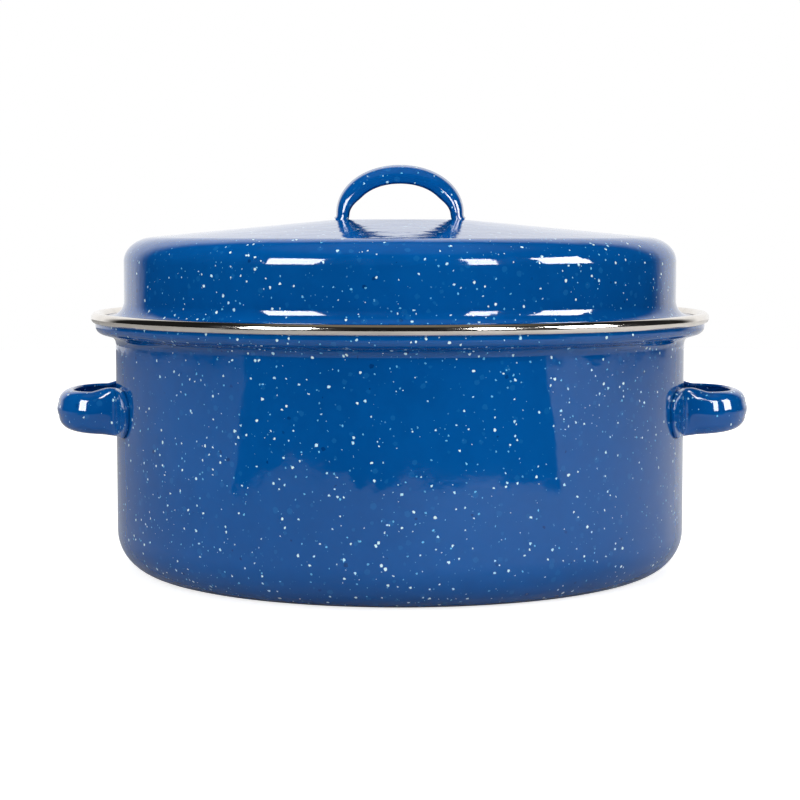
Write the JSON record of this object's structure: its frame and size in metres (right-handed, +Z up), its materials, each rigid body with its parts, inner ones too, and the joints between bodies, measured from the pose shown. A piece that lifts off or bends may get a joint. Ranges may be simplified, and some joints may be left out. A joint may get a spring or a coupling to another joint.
{
  "type": "water bath canner",
  "caption": "Low, wide speckled enamel water bath canner: lift-off domed lid with arch handle, steel-banded stepped rim, strap side handles and a wire jar rack with folding lift handles.",
  "frame": {"origin": "middle of the pot's flat underside", "axes": "+Z up; +X along the line through the two side handles; +Y away from the front"},
  "size_m": [0.3928, 0.3474, 0.2273],
  "materials": {
    "blue_enamel": "glossy vitreous enamel, cobalt blue with white specks",
    "stainless_band": "polished stainless steel",
    "rack_wire": "bright chrome-plated steel wire"
  },
  "bodies": {
    "pot": {"pot_body": "blue_enamel", "pot_rim_band": "stainless_band", "side_handle_right": "blue_enamel", "side_handle_left": "blue_enamel"},
    "lid": {"lid_shell": "blue_enamel", "lid_handle": "blue_enamel"},
    "rack": {"rack_base_ring": "rack_wire", "rack_centre_ring": "rack_wire", "rack_top_ring": "rack_wire", "rack_rib_1": "rack_wire", "rack_rib_2": "rack_wire", "rack_rib_3": "rack_wire", "rack_rib_4": "rack_wire", "rack_rib_5": "rack_wire", "rack_rib_6": "rack_wire", "rack_divider_1": "rack_wire", "rack_divider_2": "rack_wire", "rack_divider_3": "rack_wire", "rack_divider_4": "rack_wire", "rack_divider_5": "rack_wire", "rack_divider_6": "rack_wire", "rack_eye_right_front": "rack_wire", "rack_eye_right_back": "rack_wire", "rack_eye_left_front": "rack_wire", "rack_eye_left_back": "rack_wire"},
    "rack_handle_right": {"rack_handle_right": "rack_wire"},
    "rack_handle_left": {"rack_handle_left": "rack_wire"}
  },
  "joints": [
    {"name": "lid_lift", "type": "slide", "parent": "pot", "child": "lid", "axis": [0, 0, 1], "range_m": [0, 0.22]},
    {"name": "rack_lift", "type": "slide", "parent": "pot", "child": "rack", "axis": [0, 0, 1], "range_m": [0, 0.04]},
    {"name": "rack_handle_right_fold", "type": "hinge", "parent": "rack", "child": "rack_handle_right", "pos_m": [0.11605, 0, 0.0684], "axis": [0, 1, 0], "range_deg": [0, 105]},
    {"name": "rack_handle_left_fold", "type": "hinge", "parent": "rack", "child": "rack_handle_left", "pos_m": [-0.11605, 0, 0.0684], "axis": [0, -1, 0], "range_deg": [0, 105]}
  ]
}
